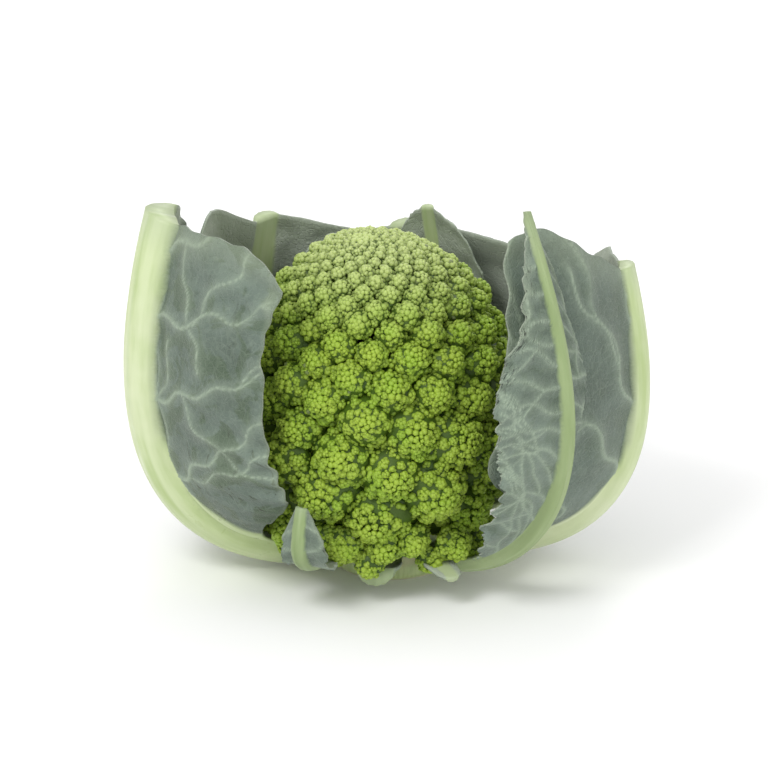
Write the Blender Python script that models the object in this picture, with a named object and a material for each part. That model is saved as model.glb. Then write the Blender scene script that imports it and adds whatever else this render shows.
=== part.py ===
"""A trimmed romanesco head, standing on its cut butt inside its wrapper leaves.

The stalk rises from the cut butt and carries the florets, which sit round it in one golden-angle
spiral: the young ones at the top are still one crown, and each older one is a branch of its own.
The leaves grow from the butt, run out along the surface, and turn up round the curd like a bowl.
Front is -Y and up is +Z. The origin is the middle of the cut butt. Lengths are in metres.
"""

import math
from typing import NamedTuple

import bmesh
import bpy
from mathutils import Matrix, Vector

MM = 0.001
CLEARANCE = 0.5 * MM  # between neighbouring pieces that grow against each other

# The stalk and its cut butt
BUTT_RADIUS = 23 * MM
BUTT_CHAMFER = 1.5 * MM
LEAF_BASE = 14 * MM  # height of an outer leaf's stalk where it leaves the butt
INNER_LEAF_BASE = LEAF_BASE + 5.5 * MM
COLLAR_HEIGHT = INNER_LEAF_BASE + 2.5 * MM  # the butt's straight part, which the leaves grow from
NECK_RADIUS = 15 * MM
NECK_RISE = 12 * MM  # from the collar up to the neck
STALK_TIP_RADIUS = 6 * MM
STALK_SIDES = 24

# The curd: a dome that leans a little to the left and to the front
CURD_RADIUS = 62 * MM
CURD_WIDEST = 56 * MM  # height of the widest level
CURD_HEIGHT = 141 * MM  # height of the tip
CURD_UNDERSIDE = 48 * MM  # depth of the dome below its widest level, if it closed
CURD_LAST_ANGLE = math.radians(126)  # from the tip to the lowest florets
LEAN_LEFT = math.radians(5.5)
LEAN_FRONT = math.radians(4.5)
DOME_STEPS = 360

# The florets
GOLDEN_ANGLE = math.pi * (3 - math.sqrt(5))
FIRST_FLORET = 1.6 * MM
FLORET_GROWTH = 0.235  # gain in diameter for each metre away from the tip
LARGEST_FLORET = 30 * MM
PACKING = 0.82  # area of curd for each floret, as a share of its diameter squared
OWN_FLORETS = 44  # the oldest ones, each a branch of its own; the younger ones are the crown
LOWEST_BRANCH = math.radians(-12)  # no branch hangs lower than this
FLORET_SLOPE = 0.95  # height of a floret's cone, as a share of its radius
BRANCH_RADIUS = 3.5 * MM
FLORET_SIDES = 10
# Outline of a floret from its tip: (depth in cone heights, radius in floret radii)
FLORET_OUTLINE = ((0.0, 0.14), (0.32, 0.62), (0.7, 0.93), (1.05, 1.04), (1.5, 0.93))
CROWN_ROWS = 28
CROWN_SIDES = 72

# The leaves
BLADE = 1.2 * MM
DECK_GAP = 1.5 * MM  # between the leaves and the florets that rest over them
LAYER = 11 * MM  # from one ring of leaves to the next
CURD_TO_LEAF = 10 * MM  # from the curd out to the innermost ring
LEAF_ROWS = 11
WING = 1 * MM  # narrowest blade beside a leaf's stalk


class Leaf(NamedTuple):
    """One leaf. Azimuths run anticlockwise from +X, and its low and high sides are named by them."""

    name: str
    azimuths: tuple  # of the midrib at its base, its middle and its top, in degrees
    reach: tuple  # of the blade to the low and to the high side, in degrees
    bulge: float  # how far out the leaf swells
    top_radius: float
    tops: tuple  # height of the cut edge at the low side, the midrib and the high side
    curl: tuple = (3 * MM, 3 * MM)  # how far the low and the high edge turn in
    rib: tuple = (16 * MM, 13 * MM)  # width of the midrib at its base and its top
    depth: tuple = (9 * MM, 5 * MM)  # how far the midrib stands out there
    base: float = LEAF_BASE


INNER_RING = CURD_RADIUS + CURD_TO_LEAF
MIDDLE_RING = INNER_RING + LAYER
OUTER_RING = MIDDLE_RING + LAYER
THIN_RIB = dict(rib=(10 * MM, 5 * MM), depth=(3 * MM, 1.5 * MM), base=INNER_LEAF_BASE)

LEAVES = (
    Leaf("outer_leaf_left", (188, 187, 186), (29, 39), OUTER_RING - 2 * MM, OUTER_RING - 10 * MM,
         (120 * MM, 151 * MM, 158 * MM), (2 * MM, 14 * MM), (26 * MM, 25 * MM), (12 * MM, 11 * MM)),
    Leaf("outer_leaf_right", (354, 353, 354), (42, 32), OUTER_RING - 2 * MM, OUTER_RING - 5 * MM,
         (176 * MM, 130 * MM, 122 * MM), (24 * MM, 2 * MM)),
    Leaf("outer_leaf_back", (88, 88, 86), (34, 34), OUTER_RING, OUTER_RING - 8 * MM,
         (112 * MM, 114 * MM, 110 * MM), (2 * MM, 2 * MM), (14 * MM, 13 * MM)),
    Leaf("front_leaf_right", (306, 318, 307), (20, 8), OUTER_RING - 4 * MM, OUTER_RING - 12 * MM,
         (150 * MM, 171 * MM, 148 * MM), (4 * MM, 0), (13 * MM, 4 * MM), (6 * MM, 2 * MM)),
    Leaf("back_leaf_left", (131, 130, 130), (36, 38), MIDDLE_RING, MIDDLE_RING - 6 * MM,
         (113 * MM, 127 * MM, 151 * MM), (2 * MM, 4 * MM), (14 * MM, 11 * MM), (8 * MM, 4 * MM)),
    Leaf("back_leaf_right", (44, 45, 46), (35, 34), MIDDLE_RING, MIDDLE_RING - 7 * MM,
         (110 * MM, 115 * MM, 124 * MM), (4 * MM, 2 * MM), (14 * MM, 11 * MM), (8 * MM, 4 * MM)),
    Leaf("inner_leaf_left", (109, 110, 112), (15, 17), INNER_RING, INNER_RING - 9 * MM,
         (112 * MM, 119 * MM, 113 * MM), **THIN_RIB),
    Leaf("inner_leaf_back", (68, 71, 77), (20, 11), INNER_RING, INNER_RING - 9 * MM,
         (116 * MM, 131 * MM, 124 * MM), **THIN_RIB),
    Leaf("inner_leaf_right", (20, 22, 27), (18, 15), INNER_RING, INNER_RING - 8 * MM,
         (99 * MM, 110 * MM, 113 * MM), **THIN_RIB),
    Leaf("small_leaf_front", (236, 240, 241), (5, 8), INNER_RING - 3 * MM, INNER_RING - 2 * MM,
         (38 * MM, 49 * MM, 40 * MM), (0, 1 * MM), **THIN_RIB),
    Leaf("small_leaf_right", (286, 291, 295), (4, 4), 38 * MM, 60 * MM,
         (LEAF_BASE - 1 * MM,) * 3, (0, 0), **THIN_RIB),
    Leaf("cut_leaf_base", (262, 262, 262), (3, 3), 36 * MM, 47 * MM,
         (LEAF_BASE + 1 * MM,) * 3, (0, 0), (16 * MM, 15 * MM), (8 * MM, 6 * MM)),
)

COLOURS = {
    "stalk": (0.66, 0.74, 0.42, 1),
    "curd": (0.28, 0.45, 0.04, 1),
    "leaf": (0.20, 0.29, 0.23, 1),
}


def clear_scene():
    for thing in list(bpy.data.objects):
        bpy.data.objects.remove(thing)


def material(name):
    made = bpy.data.materials.get(name) or bpy.data.materials.new(name)
    made.use_nodes = True
    shader = made.node_tree.nodes["Principled BSDF"]
    shader.inputs["Base Color"].default_value = COLOURS[name]
    shader.inputs["Roughness"].default_value = 0.55
    shader.inputs["Metallic"].default_value = 0.0
    return made


def add_object(name, bm, finish):
    """Makes bm an object with its faces pointing out."""
    bmesh.ops.recalc_face_normals(bm, faces=bm.faces)
    if bm.calc_volume(signed=True) < 0:
        bmesh.ops.reverse_faces(bm, faces=bm.faces)
    mesh = bpy.data.meshes.new(name)
    bm.to_mesh(mesh)
    bm.free()
    mesh.materials.append(material(finish))
    mesh.shade_smooth()
    mesh.set_sharp_from_angle(angle=math.radians(40))
    made = bpy.data.objects.new(name, mesh)
    bpy.context.scene.collection.objects.link(made)
    return made


def smooth_step(low, high, value):
    share = min(1.0, max(0.0, (value - low) / (high - low)))
    return share * share * (3 - 2 * share)


# ---- Curd frame: +Z up the leaning stalk, with its origin on the butt's axis --------------------

CURD_FRAME = (
    Matrix.Translation((0, 0, COLLAR_HEIGHT))
    @ Matrix.Rotation(LEAN_FRONT, 4, "X")
    @ Matrix.Rotation(-LEAN_LEFT, 4, "Y")
    @ Matrix.Translation((0, 0, -COLLAR_HEIGHT))
)


class DomePoint(NamedTuple):
    travel: float  # along the surface, from the tip
    radius: float
    height: float
    slope: float  # elevation of the outward normal


def dome_points():
    """The curd's outline, from its tip down to the lowest florets."""
    points = []
    travel = 0.0
    for step in range(DOME_STEPS + 1):
        angle = CURD_LAST_ANGLE * step / DOME_STEPS
        rise = CURD_HEIGHT - CURD_WIDEST if math.cos(angle) > 0 else CURD_UNDERSIDE
        radius = CURD_RADIUS * math.sin(angle)
        height = CURD_WIDEST + rise * math.cos(angle)
        slope = math.atan2(math.cos(angle) / rise, math.sin(angle) / CURD_RADIUS)
        if points:
            travel += math.hypot(radius - points[-1].radius, height - points[-1].height)
        points.append(DomePoint(travel, radius, height, slope))
    return points


DOME = dome_points()


def dome_at(travel):
    return next((point for point in DOME if point.travel >= travel), DOME[-1])


class Floret(NamedTuple):
    travel: float
    azimuth: float
    diameter: float
    tip: Vector
    axis: Vector

    @property
    def radius(self):
        return self.diameter / 2

    @property
    def centre(self):
        """Middle of the floret's widest level."""
        return self.tip - self.axis * self.radius * FLORET_SLOPE


def floret_spiral():
    """All florets in the curd frame, youngest first, each a golden angle on from the one before."""
    florets = []
    travel = FIRST_FLORET / 2
    while travel < DOME[-1].travel:
        diameter = min(FIRST_FLORET + FLORET_GROWTH * travel, LARGEST_FLORET)
        point = dome_at(travel)
        azimuth = len(florets) * GOLDEN_ANGLE
        across = Vector((math.cos(azimuth), math.sin(azimuth), 0))
        slope = max(point.slope, LOWEST_BRANCH)
        tip = across * point.radius + Vector((0, 0, point.height))
        axis = across * math.cos(slope) + Vector((0, 0, math.sin(slope)))
        florets.append(Floret(travel, azimuth, diameter, tip, axis))
        travel += PACKING * diameter**2 / (2 * math.pi * max(point.radius, FIRST_FLORET))
    return florets


# ---- Convex solids cut by planes ---------------------------------------------------------------


def hull_of(points):
    bm = bmesh.new()
    for point in points:
        bm.verts.new(point)
    bmesh.ops.remove_doubles(bm, verts=bm.verts, dist=0.05 * MM)
    made = bmesh.ops.convex_hull(bm, input=bm.verts)
    spare = [v for v in made["geom_interior"] + made["geom_unused"] if isinstance(v, bmesh.types.BMVert)]
    bmesh.ops.delete(bm, geom=list(set(spare)), context="VERTS")
    return bm


def cut_away(bm, point, normal):
    """The convex solid bm without what lies beyond the plane, on the side that normal points to."""
    if max((v.co - point).dot(normal) for v in bm.verts) <= 0:
        return bm
    everything = bm.verts[:] + bm.edges[:] + bm.faces[:]
    bmesh.ops.bisect_plane(bm, geom=everything, plane_co=point, plane_no=normal, clear_outer=True)
    kept = [v.co.copy() for v in bm.verts]
    bm.free()
    return hull_of(kept)


def ring(centre, axis, radius, sides):
    turn = axis.to_track_quat("Z", "Y")
    angles = [2 * math.pi * side / sides for side in range(sides)]
    return [centre + turn @ Vector((math.cos(a), math.sin(a), 0)) * radius for a in angles]


# ---- Stalk, crown and florets ------------------------------------------------------------------


class Crown(NamedTuple):
    rim: DomePoint
    foot_radius: float
    foot_height: float


def crown_shape(first_own_floret):
    """Where the crown ends. Its underside runs square to the dome, from the rim in to the stalk."""
    rim = dome_at(first_own_floret.travel - 0.35 * first_own_floret.diameter)
    foot_radius = STALK_TIP_RADIUS + 1 * MM
    return Crown(rim, foot_radius, rim.height - (rim.radius - foot_radius) * math.tan(rim.slope))


def floret_depth(share):
    """Depth of a floret's surface below its tip, in cone heights, at a share of its radius out."""
    rises = FLORET_OUTLINE[:4]
    for (high, near), (low, far) in zip(rises, rises[1:]):
        if share <= far or far == rises[-1][1]:
            return max(0.0, high + (low - high) * (share - near) / (far - near))


def crown_point(travel, azimuth, florets):
    """The crown's surface: the dome, hollowed between the tips of the young florets."""
    point = dome_at(travel)
    across = Vector((math.cos(azimuth), math.sin(azimuth), 0))
    surface = across * point.radius + Vector((0, 0, point.height))
    depth = FLORET_SLOPE * (FIRST_FLORET + FLORET_GROWTH * travel) / 2
    for floret in florets:
        share = (surface - floret.tip).length / floret.radius
        if share < 2:
            depth = min(depth, floret_depth(share) * floret.radius * FLORET_SLOPE)
    return surface - (across * math.cos(point.slope) + Vector((0, 0, math.sin(point.slope)))) * depth


def build_crown(crown, florets):
    bm = bmesh.new()
    tip = bm.verts.new((0, 0, CURD_HEIGHT))
    azimuths = [2 * math.pi * side / CROWN_SIDES for side in range(CROWN_SIDES)]
    rows = []
    for row in range(1, CROWN_ROWS + 1):
        travel = crown.rim.travel * (row / CROWN_ROWS) ** 1.2
        rows.append([bm.verts.new(crown_point(travel, azimuth, florets)) for azimuth in azimuths])
    foot = ring(Vector((0, 0, crown.foot_height)), Vector((0, 0, 1)), crown.foot_radius, CROWN_SIDES)
    rows.append([bm.verts.new(point) for point in foot])
    for side in range(CROWN_SIDES):
        following = (side + 1) % CROWN_SIDES
        bm.faces.new((tip, rows[0][side], rows[0][following]))
        for upper, lower in zip(rows, rows[1:]):
            bm.faces.new((upper[side], lower[side], lower[following], upper[following]))
    bm.faces.new(rows[-1])
    bm.transform(CURD_FRAME)
    add_object("crown", bm, "curd")


def stalk_outline(crown):
    """(height, radius) of the stalk above its collar, in the curd frame."""
    return (
        (COLLAR_HEIGHT, BUTT_RADIUS),
        (COLLAR_HEIGHT + NECK_RISE, NECK_RADIUS),
        (crown.foot_height - CLEARANCE, STALK_TIP_RADIUS),
    )


def clear_of_stalk(bm, floret, crown):
    """The floret's solid bm without what would reach into either cone of the stalk."""
    outwards = Vector((math.cos(floret.azimuth), math.sin(floret.azimuth), 0))
    outline = stalk_outline(crown)
    for (low, wide), (high, narrow) in zip(outline, outline[1:]):
        normal = (outwards * (high - low) + Vector((0, 0, wide - narrow))).normalized()
        face = outwards * wide + Vector((0, 0, low))
        bm = cut_away(bm, face + normal * CLEARANCE, -normal)
    return bm


def build_stalk(crown):
    upright = Vector((0, 0, 1))
    rings = [
        ring(Vector((0, 0, 0)), upright, BUTT_RADIUS - BUTT_CHAMFER, STALK_SIDES),
        ring(Vector((0, 0, BUTT_CHAMFER)), upright, BUTT_RADIUS, STALK_SIDES),
    ]
    for height, radius in stalk_outline(crown):
        level = ring(Vector((0, 0, height)), upright, radius, STALK_SIDES)
        rings.append([CURD_FRAME @ point for point in level])
    bm = bmesh.new()
    rows = [[bm.verts.new(point) for point in level] for level in rings]
    for lower, upper in zip(rows, rows[1:]):
        for side in range(STALK_SIDES):
            following = (side + 1) % STALK_SIDES
            bm.faces.new((lower[side], lower[following], upper[following], upper[side]))
    bm.faces.new(rows[0])
    bm.faces.new(rows[-1])
    add_object("stalk", bm, "stalk")


class Branch(NamedTuple):
    floret: Floret
    root: Vector  # where the branch leaves the stalk's axis


def branches_of(florets, crown):
    """The florets with their roots, which climb the stalk in the order of the tips' heights."""
    heights = [floret.tip.z for floret in florets]
    low = COLLAR_HEIGHT + NECK_RISE
    high = crown.foot_height - BRANCH_RADIUS
    climb = (high - low) / (max(heights) - min(heights))
    roots = [Vector((0, 0, low + (height - min(heights)) * climb)) for height in heights]
    return [Branch(floret, root) for floret, root in zip(florets, roots)]


def floret_solid(branch):
    """The uncut floret: a rounded cone that narrows inwards to its branch."""
    floret, root = branch
    points = []
    for depth, width in FLORET_OUTLINE:
        centre = floret.tip - floret.axis * depth * floret.radius * FLORET_SLOPE
        points += ring(centre, floret.axis, width * floret.radius, FLORET_SIDES)
    along = (floret.centre - root).normalized()
    points += ring(root + along * BRANCH_RADIUS, along, BRANCH_RADIUS, FLORET_SIDES)
    return hull_of(points)


def parting_plane(branch, other):
    """(point, direction towards the other) of the plane that parts two florets. It runs midway
    between them where they swell, and midway between their roots."""
    share = branch.floret.radius / (branch.floret.radius + other.floret.radius)
    middle = branch.floret.centre.lerp(other.floret.centre, share)
    towards = other.floret.centre - branch.floret.centre
    inwards = middle - branch.root.lerp(other.root, 0.5)
    if inwards.length > CURD_RADIUS / 4:
        towards -= inwards * towards.dot(inwards) / inwards.length_squared
    return middle, towards.normalized()


def over_leaf_stalk(floret, leaf):
    """Whether the leaf's stalk passes under the floret."""
    place = CURD_FRAME @ floret.centre
    bearing = math.degrees(math.atan2(place.y, place.x))
    apart = abs((bearing - leaf.azimuths[0] + 180) % 360 - 180)
    reach = math.degrees((floret.radius + leaf.rib[0]) / place.xy.length)
    return apart < reach


def deck_height(floret):
    """Height of what the floret rests over: the stalks of the leaves that pass under it."""
    deck = LEAF_BASE
    outer_end = floret.centre.xy.length + floret.radius
    for leaf in LEAVES:
        if not over_leaf_stalk(floret, leaf):
            continue
        for row in range(LEAF_ROWS):
            radius, height = leaf_profile(leaf, row / (LEAF_ROWS - 1))
            if radius <= min(outer_end, CURD_RADIUS - CURD_TO_LEAF):
                deck = max(deck, height)
    return deck + DECK_GAP


def clear_of_leaves(bm, floret):
    """The floret's solid bm without what would reach into a leaf that passes it."""
    place = CURD_FRAME @ floret.centre
    bearing = math.atan2(place.y, place.x)
    spread = math.degrees(floret.radius / place.xy.length)
    outwards = Vector((math.cos(bearing), math.sin(bearing), 0))
    for leaf in LEAVES:
        turn = (math.degrees(bearing) - leaf.azimuths[1] + 180) % 360 - 180
        which = 0 if turn < 0 else 1
        if abs(turn) > leaf.reach[which] + spread or leaf.tops[1] < place.z:
            continue
        blade_place = min(1.0, (abs(turn) + spread) / leaf.reach[which])
        for row in range(1, LEAF_ROWS):
            share = row / (LEAF_ROWS - 1)
            radius, height = leaf_profile(leaf, share)
            normal = leaf_normal(leaf, share)
            towards = outwards * normal.x + Vector((0, 0, normal.y))
            face = outwards * radius + Vector((0, 0, height))
            room = DECK_GAP + turned_in(leaf, which, share, blade_place)
            bm = cut_away(bm, face - towards * room, towards)
    return bm


def build_floret(name, branch, others, crown):
    floret = branch.floret
    bm = floret_solid(branch)
    for other in others:
        middle, towards = parting_plane(branch, other)
        bm = cut_away(bm, middle - towards * CLEARANCE / 2, towards)
    outwards = Vector((math.cos(floret.azimuth), math.sin(floret.azimuth), 0))
    rim = outwards * crown.rim.radius + Vector((0, 0, crown.rim.height))
    under_rim = outwards * -math.sin(crown.rim.slope) + Vector((0, 0, math.cos(crown.rim.slope)))
    bm = cut_away(bm, rim - under_rim * CLEARANCE, under_rim)
    bm = clear_of_stalk(bm, floret, crown)
    bm.transform(CURD_FRAME)
    bm = cut_away(bm, Vector((0, 0, deck_height(floret))), Vector((0, 0, -1)))
    bm = clear_of_leaves(bm, floret)
    add_object(name, bm, "curd")


# ---- Leaves ------------------------------------------------------------------------------------


def leaf_profile(leaf, share):
    """(radius, height) of the leaf's inner face along its midrib: a Bezier curve from base to top."""
    top = leaf.tops[1]
    controls = (
        (BUTT_RADIUS + CLEARANCE, leaf.base),
        (leaf.bulge, leaf.base - 3 * MM),
        (leaf.bulge * 1.15, max(top * 0.43, leaf.base)),
        (leaf.top_radius, top),
    )
    rest = 1 - share
    weights = (rest**3, 3 * rest**2 * share, 3 * rest * share**2, share**3)
    return tuple(sum(w * point[axis] for w, point in zip(weights, controls)) for axis in (0, 1))


def leaf_normal(leaf, share):
    """Unit (radius, height) direction that points out of the bowl, square to the profile. It is
    plumb at the base, where the leaf's end face lies flat against the butt."""
    if share == 0:
        return Vector((0, -1))
    before = leaf_profile(leaf, max(0.0, share - 0.01))
    after = leaf_profile(leaf, min(1.0, share + 0.01))
    along = Vector((after[0] - before[0], after[1] - before[1])).normalized()
    return Vector((along.y, -along.x))


def midrib_azimuth(leaf, share):
    base, middle, top = leaf.azimuths
    rest = 1 - share
    bend = 2 * middle - (base + top) / 2
    return rest**2 * base + 2 * rest * share * bend + share**2 * top


def opened(share):
    """How far the blade beside the leaf's stalk has opened: 0 to 1."""
    return smooth_step(0.1, 0.42, share)


def turned_in(leaf, which, share, blade_place):
    """How far the blade curls in there, on its low side (0) or its high side (1)."""
    return leaf.curl[which] * opened(share) * blade_place**1.5


def leaf_columns():
    """(side, place on the midrib, place on the blade) of each column, from the low edge up."""
    blade = [(0.3, 1.0), (0.65, 1.0), (1.0, 1.0)]
    low = [(-1, rib, out) for out, rib in reversed(blade)]
    high = [(1, rib, out) for out, rib in blade]
    middle = [(-1, 1.0, 0), (-1, 0.6, 0), (1, 0, 0), (1, 0.6, 0), (1, 1.0, 0)]
    return low + middle + high


def leaf_points(leaf, share, side, rib_place, blade_place):
    """The inner and the outer point of the leaf at one row and column."""
    radius, height = leaf_profile(leaf, share)
    normal = leaf_normal(leaf, share)
    which = 0 if side < 0 else 1
    half_rib = (leaf.rib[0] + (leaf.rib[1] - leaf.rib[0]) * share) / 2
    reach = max(math.radians(leaf.reach[which]) * opened(share), WING / radius)
    turn = rib_place * half_rib / radius + blade_place * reach
    azimuth = math.radians(midrib_azimuth(leaf, share)) + side * turn
    inwards = turned_in(leaf, which, share, blade_place)
    cut = leaf.tops[0 if side < 0 else 2] - leaf.tops[1]
    lift = share**2 * cut * blade_place
    rib_depth = leaf.depth[0] + (leaf.depth[1] - leaf.depth[0]) * share
    thickness = BLADE + rib_depth * (1 - rib_place**2)

    def place(offset):
        out = radius + normal.x * offset
        return Vector((out * math.cos(azimuth), out * math.sin(azimuth), height + normal.y * offset + lift))

    return place(-inwards), place(thickness - inwards)


def build_leaf(leaf):
    bm = bmesh.new()
    columns = leaf_columns()
    inner, outer = [], []
    for row in range(LEAF_ROWS):
        pairs = [leaf_points(leaf, row / (LEAF_ROWS - 1), *column) for column in columns]
        inner.append([bm.verts.new(pair[0]) for pair in pairs])
        outer.append([bm.verts.new(pair[1]) for pair in pairs])
    for row in range(LEAF_ROWS - 1):
        for column in range(len(columns) - 1):
            for face in (inner, outer):
                bm.faces.new((face[row][column], face[row][column + 1],
                              face[row + 1][column + 1], face[row + 1][column]))
        for edge in (0, -1):
            bm.faces.new((inner[row][edge], inner[row + 1][edge], outer[row + 1][edge], outer[row][edge]))
    for column in range(len(columns) - 1):
        for edge in (0, -1):
            bm.faces.new((inner[edge][column], inner[edge][column + 1],
                          outer[edge][column + 1], outer[edge][column]))
    add_object(leaf.name, bm, "leaf")


def main():
    clear_scene()
    florets = floret_spiral()
    own = florets[-OWN_FLORETS:]
    crown = crown_shape(own[0])
    build_stalk(crown)
    build_crown(crown, florets)
    branches = branches_of(own, crown)
    for number, branch in enumerate(branches, start=1):
        others = [other for other in branches if other is not branch]
        build_floret(f"floret_{number:02d}", branch, others, crown)
    for leaf in LEAVES:
        build_leaf(leaf)


main()
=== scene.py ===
"""A romanesco head, standing on its cut butt inside its cut wrapper leaves.

Each floret is a cone of smaller florets, and each of those a cone of buds, all set out along
golden-angle spirals. The leaves are bowls of thin blade with a keeled midrib and raised veins.
Front is -Y and up is +Z, in metres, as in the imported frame.
"""

import math
from typing import NamedTuple

import bpy
import numpy as np
from bpy.props import FloatProperty, FloatVectorProperty, IntProperty, PointerProperty
from mathutils import Matrix, Vector, kdtree


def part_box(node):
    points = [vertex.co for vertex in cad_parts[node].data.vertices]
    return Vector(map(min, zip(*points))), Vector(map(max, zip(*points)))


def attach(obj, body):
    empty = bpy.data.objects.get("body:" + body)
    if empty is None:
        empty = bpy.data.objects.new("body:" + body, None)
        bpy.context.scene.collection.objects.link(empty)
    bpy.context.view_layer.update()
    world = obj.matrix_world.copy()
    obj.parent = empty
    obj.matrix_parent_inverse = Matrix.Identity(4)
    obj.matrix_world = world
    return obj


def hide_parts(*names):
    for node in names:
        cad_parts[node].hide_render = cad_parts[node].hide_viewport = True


bl_info = {
    "name": "Romanesco Head",
    "version": (1, 0, 0),
    "blender": (4, 5, 0),
    "location": "3D View > Sidebar > Romanesco",
    "description": "Builds a romanesco head from its buds, florets and wrapper leaves",
    "category": "Add Mesh",
}

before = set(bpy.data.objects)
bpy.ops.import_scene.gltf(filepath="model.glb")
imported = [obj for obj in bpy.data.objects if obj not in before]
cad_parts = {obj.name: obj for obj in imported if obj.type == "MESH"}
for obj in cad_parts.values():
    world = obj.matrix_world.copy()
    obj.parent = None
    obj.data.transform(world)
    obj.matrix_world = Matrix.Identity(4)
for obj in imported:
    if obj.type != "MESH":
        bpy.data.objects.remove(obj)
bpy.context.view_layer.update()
BODY = "root"

MM = 0.001


def mm(*lengths):
    """Lengths given in millimetres, in metres."""
    return tuple(length * MM for length in lengths)


GOLDEN_ANGLE = math.pi * (3 - math.sqrt(5))
BUTT_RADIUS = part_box("stalk")[1].x
LEAF_BASE = 14 * MM
INNER_LEAF_BASE = LEAF_BASE + 5.5 * MM
COLLAR_HEIGHT = INNER_LEAF_BASE + 2.5 * MM
OWN_FLORETS = sum(name.startswith("floret_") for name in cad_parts)
CROWN_PIECES = 6


# ---- Settings ----------------------------------------------------------------------------------


class CurdSettings(bpy.types.PropertyGroup):
    """The dome of florets."""

    radius: FloatProperty(
        name="Radius", description="Radius of the curd at its widest level",
        default=0.062, unit="LENGTH",
    )
    widest: FloatProperty(
        name="Widest level", description="Height of the curd's widest level",
        default=0.056, unit="LENGTH",
    )
    height: FloatProperty(
        name="Height", description="Height of the curd's tip",
        default=0.141, unit="LENGTH",
    )
    underside: FloatProperty(
        name="Underside", description="Depth of the closed dome below its widest level",
        default=0.048, unit="LENGTH",
    )
    lean_left: FloatProperty(
        name="Lean to the left", description="How far the curd leans to the left",
        default=math.radians(5.5), subtype="ANGLE", unit="ROTATION",
    )
    lean_front: FloatProperty(
        name="Lean to the front", description="How far the curd leans to the front",
        default=math.radians(4.5), subtype="ANGLE", unit="ROTATION",
    )
    largest: FloatProperty(
        name="Largest floret", description="Diameter of the oldest florets",
        default=0.030, unit="LENGTH",
    )
    largest_bud: FloatProperty(
        name="Largest bud", description="A floret smaller than this is a single bud",
        default=0.0030, unit="LENGTH",
    )
    smallest_bud: FloatProperty(
        name="Smallest bud", description="Diameter of the youngest buds",
        default=0.0017, unit="LENGTH",
    )
    growth: FloatProperty(
        name="Growth", description="Gain in a small floret's diameter down its parent's side",
        default=0.46, subtype="FACTOR",
    )
    share: FloatProperty(
        name="Share", description="Largest small floret, as a share of its parent's diameter",
        default=0.37, subtype="FACTOR",
    )
    swelling: FloatProperty(
        name="Swelling", description="How far the florets grow into each other",
        default=1.14, subtype="FACTOR",
    )
    disorder: FloatProperty(
        name="Disorder", description="Unevenness of the florets' sizes and directions",
        default=0.14, subtype="FACTOR",
    )
    bud_colour: FloatVectorProperty(
        name="Buds", description="Colour of the buds at the tips of the florets",
        default=(0.29, 0.41, 0.034), subtype="COLOR",
    )
    # Painted shade: the dark green laid down into the crevices between the florets and at the foot of each
    # bud, where shade falls.
    crevice_shade_colour: FloatVectorProperty(
        name="Between the buds", description="Colour between the florets",
        default=(0.032, 0.072, 0.003), subtype="COLOR",
    )
    # Painted light: a pale haze of light laid over the top of the curd.
    painted_haze_colour: FloatVectorProperty(
        name="Young buds", description="Colour at the top of the curd",
        default=(0.47, 0.55, 0.22), subtype="COLOR",
    )


class LeafSettings(bpy.types.PropertyGroup):
    """The wrapper leaves."""

    thickness: FloatProperty(
        name="Blade", description="Thickness of the leaf blade",
        default=0.0009, unit="LENGTH",
    )
    vein_height: FloatProperty(
        name="Vein height", description="How far the widest side veins stand out",
        default=0.0011, unit="LENGTH",
    )
    pucker: FloatProperty(
        name="Pucker", description="How far the blade sinks between its veins",
        default=0.0013, unit="LENGTH",
    )
    blade_colour: FloatVectorProperty(
        name="Blade colour", description="Colour of the bare blade",
        default=(0.040, 0.066, 0.040), subtype="COLOR",
    )
    bloom_colour: FloatVectorProperty(
        name="Bloom", description="Colour of the waxy bloom on the blade",
        default=(0.130, 0.172, 0.142), subtype="COLOR",
    )
    vein_colour: FloatVectorProperty(
        name="Veins", description="Colour of the veins",
        default=(0.34, 0.42, 0.31), subtype="COLOR",
    )
    rib_colour: FloatVectorProperty(
        name="Midrib", description="Colour of the midribs and leaf stalks",
        default=(0.54, 0.62, 0.36), subtype="COLOR",
    )


class StalkSettings(bpy.types.PropertyGroup):
    """The stalk and its cut butt."""

    skin_colour: FloatVectorProperty(
        name="Skin", description="Colour of the stalk's skin",
        default=(0.52, 0.62, 0.30), subtype="COLOR",
    )
    pith_colour: FloatVectorProperty(
        name="Pith", description="Colour of the cut pith",
        default=(0.72, 0.74, 0.50), subtype="COLOR",
    )
    scars: IntProperty(
        name="Leaf scars", description="Scars of trimmed leaves round the butt",
        default=7, min=0,
    )


class StageSettings(bpy.types.PropertyGroup):
    """Camera, floor and light."""

    elevation: FloatProperty(
        name="Elevation", description="Camera's height above the horizon",
        default=math.radians(20), subtype="ANGLE", unit="ROTATION",
    )
    distance: FloatProperty(
        name="Distance", description="From the camera to the head",
        default=2.2, unit="LENGTH",
    )
    view_width: FloatProperty(
        name="View width", description="Width of the view at the head",
        default=0.3072, unit="LENGTH",
    )
    floor_colour: FloatVectorProperty(
        name="Floor", description="Colour of the floor",
        default=(0.92, 0.92, 0.92), subtype="COLOR",
    )


# ---- Small tools -------------------------------------------------------------------------------


def deselect():
    if bpy.context.object and bpy.context.object.mode != "OBJECT":
        bpy.ops.object.mode_set(mode="OBJECT")
    bpy.ops.object.select_all(action="DESELECT")


def smooth_step(low, high, value):
    share = np.clip((np.asarray(value, float) - low) / (high - low), 0.0, 1.0)
    return share * share * (3 - 2 * share)


def coordinates(mesh):
    found = np.empty(len(mesh.vertices) * 3, np.float32)
    mesh.vertices.foreach_get("co", found)
    return found.reshape(-1, 3).astype(float)


def set_coordinates(mesh, points):
    mesh.vertices.foreach_set("co", np.asarray(points, np.float32).ravel())
    mesh.update()


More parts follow.
